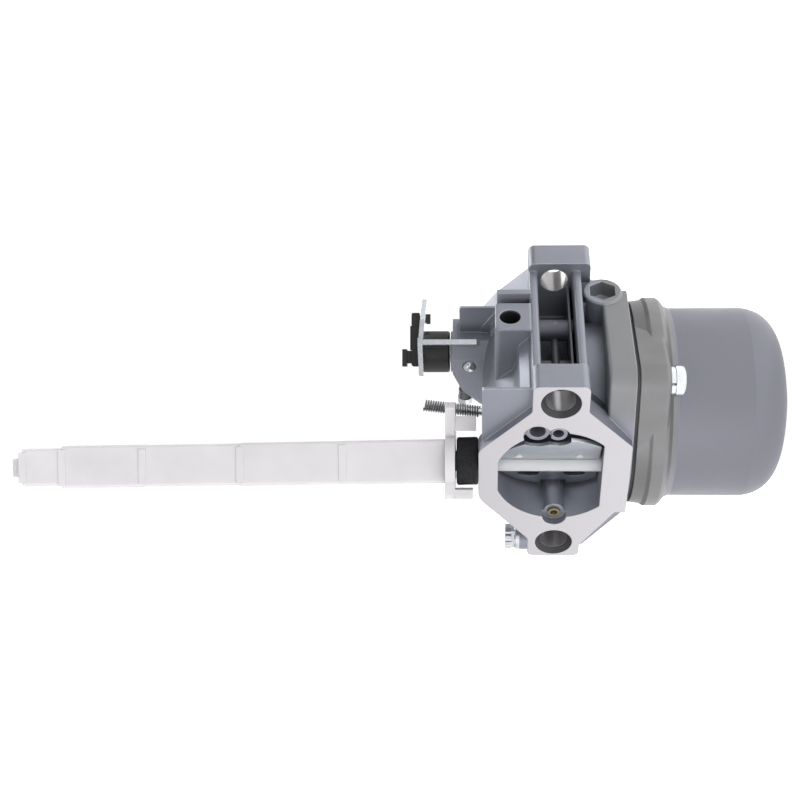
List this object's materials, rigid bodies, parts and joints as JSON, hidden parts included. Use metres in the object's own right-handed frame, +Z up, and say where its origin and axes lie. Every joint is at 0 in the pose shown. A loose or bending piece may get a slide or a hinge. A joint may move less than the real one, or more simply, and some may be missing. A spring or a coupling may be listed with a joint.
{
  "type": "float bowl carburetor",
  "caption": "Small-engine carburetor: cast body with two bolt flanges, round float bowl below, throttle lever and a long white choke rod on top.",
  "frame": {"origin": "centre of the throat on the air-intake face, midway between the two bolt holes", "axes": "+Z up with the shafts on top and the bowl below, +Y along the throat towards the engine, +X towards the bolt lug beside the side port"},
  "size_m": [0.0696, 0.058, 0.1858],
  "materials": {
    "cast_body": "fine shot-blasted casting with machined faces",
    "cast_bowl": "satin casting",
    "bright_plate": "bright rolled sheet",
    "bright_steel": "ground steel",
    "spring_steel": "drawn wire",
    "zinc_plate": "bright zinc plating",
    "brass": "turned",
    "white_nylon": "natural moulded nylon, slightly translucent",
    "float_plastic": "closed-cell float material",
    "black_plastic": "satin moulded",
    "black_rubber": "matt",
    "gasket_paper": "grey rubber and fibre sheet",
    "black_foam": "open foam"
  },
  "bodies": {
    "casting": {"carburetor_body": "cast_body", "air_bleed_jet": "brass", "idle_passage_ball": "bright_steel", "idle_screw_spring": "spring_steel", "side_screw": "zinc_plate", "side_screw_washer": "zinc_plate", "fuel_inlet_spigot": "zinc_plate", "needle_seat": "brass", "main_nozzle": "brass", "main_jet": "brass", "float_bowl": "cast_bowl", "bowl_gasket": "gasket_paper", "bowl_screws": "zinc_plate", "bowl_lock_washers": "zinc_plate", "float_hinge_pin": "bright_steel", "choke_seal": "black_foam", "detent_spring": "spring_steel", "detent_post": "bright_steel"},
    "choke": {"choke_plate": "bright_plate", "choke_shaft": "white_nylon", "choke_lever": "white_nylon", "choke_rod": "white_nylon"},
    "throttle": {"throttle_plate": "brass", "throttle_plate_screws": "zinc_plate", "throttle_shaft": "bright_steel", "throttle_hub": "black_plastic", "throttle_lever": "zinc_plate", "throttle_link_clip": "black_plastic"},
    "float_arm": {"float": "float_plastic"},
    "needle": {"inlet_needle": "brass", "needle_tip": "black_rubber"},
    "mixture_screw": {"idle_mixture_screw": "zinc_plate"}
  },
  "joints": [
    {"name": "choke_turn", "type": "hinge", "parent": "casting", "child": "choke", "pos_m": [0, 0.005, 0], "axis": [0, 0, 1], "range_deg": [-66, 22]},
    {"name": "throttle_turn", "type": "hinge", "parent": "casting", "child": "throttle", "pos_m": [0, 0.0432, 0], "axis": [0, 0, -1], "range_deg": [0, 70]},
    {"name": "float_swing", "type": "hinge", "parent": "casting", "child": "float_arm", "pos_m": [0, 0.0405, -0.0215], "axis": [1, 0, 0], "range_deg": [-7, 0]},
    {"name": "needle_lift", "type": "slide", "parent": "casting", "child": "needle", "axis": [0, 0, 1], "range_m": [0, 0.00075]},
    {"name": "mixture_turn", "type": "hinge", "parent": "casting", "child": "mixture_screw", "pos_m": [-0.012, 0.0396, 0.0219], "axis": [1, 0, 0], "range_deg": [0, 360]}
  ],
  "couplings": [
    {"joint": "needle_lift", "follows": "float_swing", "m_per_rad": -0.006}
  ]
}
